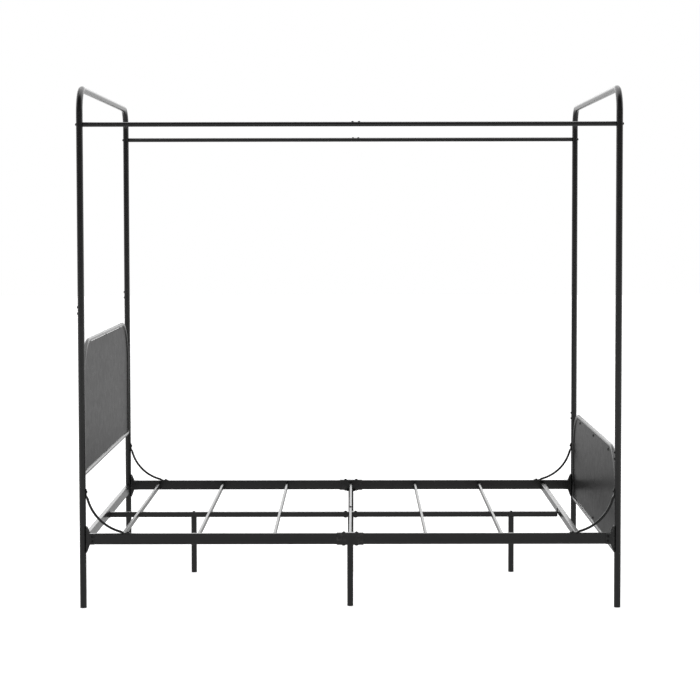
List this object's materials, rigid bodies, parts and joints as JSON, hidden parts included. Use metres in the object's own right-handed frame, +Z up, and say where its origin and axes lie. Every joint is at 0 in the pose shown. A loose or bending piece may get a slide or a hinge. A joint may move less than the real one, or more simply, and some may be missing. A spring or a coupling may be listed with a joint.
{
  "type": "four poster canopy bed",
  "caption": "Black steel four poster bed with tube arches and canopy rails, sheet head and foot panels, corner braces and a slatted deck.",
  "frame": {"origin": "on the floor under the middle of the bed", "axes": "+X from the headboard to the footboard, +Y from the left side to the right side as seen from the foot, +Z up"},
  "size_m": [2.113, 1.5916, 2.03],
  "materials": {
    "frame_paint": "semi-gloss black powder coat",
    "panel_paint": "semi-gloss black powder coat on sheet",
    "fastener": "black plated steel",
    "cap": "satin black moulded plastic"
  },
  "bodies": {
    "root": {"head_left_post_lower": "frame_paint", "head_right_post_lower": "frame_paint", "foot_left_post_lower": "frame_paint", "foot_right_post_lower": "frame_paint", "head_left_post_upper": "frame_paint", "head_right_post_upper": "frame_paint", "foot_left_post_upper": "frame_paint", "foot_right_post_upper": "frame_paint", "head_arch": "frame_paint", "foot_arch": "frame_paint", "left_canopy_rail_head_half": "frame_paint", "left_canopy_rail_foot_half": "frame_paint", "right_canopy_rail_head_half": "frame_paint", "right_canopy_rail_foot_half": "frame_paint", "headboard_frame": "frame_paint", "footboard_frame": "frame_paint", "left_rail_head_half": "frame_paint", "left_rail_foot_half": "frame_paint", "right_rail_head_half": "frame_paint", "right_rail_foot_half": "frame_paint", "left_rail_sleeve": "frame_paint", "right_rail_sleeve": "frame_paint", "rail_brackets": "frame_paint", "head_crossbar": "frame_paint", "foot_crossbar": "frame_paint", "beam_head_half": "frame_paint", "beam_foot_half": "frame_paint", "beam_head_bracket": "frame_paint", "beam_foot_bracket": "frame_paint", "slat_1": "frame_paint", "slat_2": "frame_paint", "slat_3": "frame_paint", "slat_4": "frame_paint", "slat_5": "frame_paint", "slat_6": "frame_paint", "left_side_leg": "frame_paint", "right_side_leg": "frame_paint", "center_leg": "frame_paint", "head_beam_leg": "frame_paint", "foot_beam_leg": "frame_paint", "head_left_brace": "frame_paint", "head_right_brace": "frame_paint", "foot_left_brace": "frame_paint", "foot_right_brace": "frame_paint", "headboard_panel": "panel_paint", "footboard_panel": "panel_paint", "tube_joint_screws": "fastener", "canopy_rail_bolts": "fastener", "headboard_nuts": "fastener", "footboard_screws": "fastener", "rail_bracket_bolts": "fastener", "joint_bolts": "fastener", "joint_nuts": "fastener", "leg_bolts": "fastener", "brace_bolts": "fastener", "beam_splice": "fastener", "post_feet": "cap", "slat_end_caps": "cap", "leg_feet": "cap"}
  },
  "joints": []
}
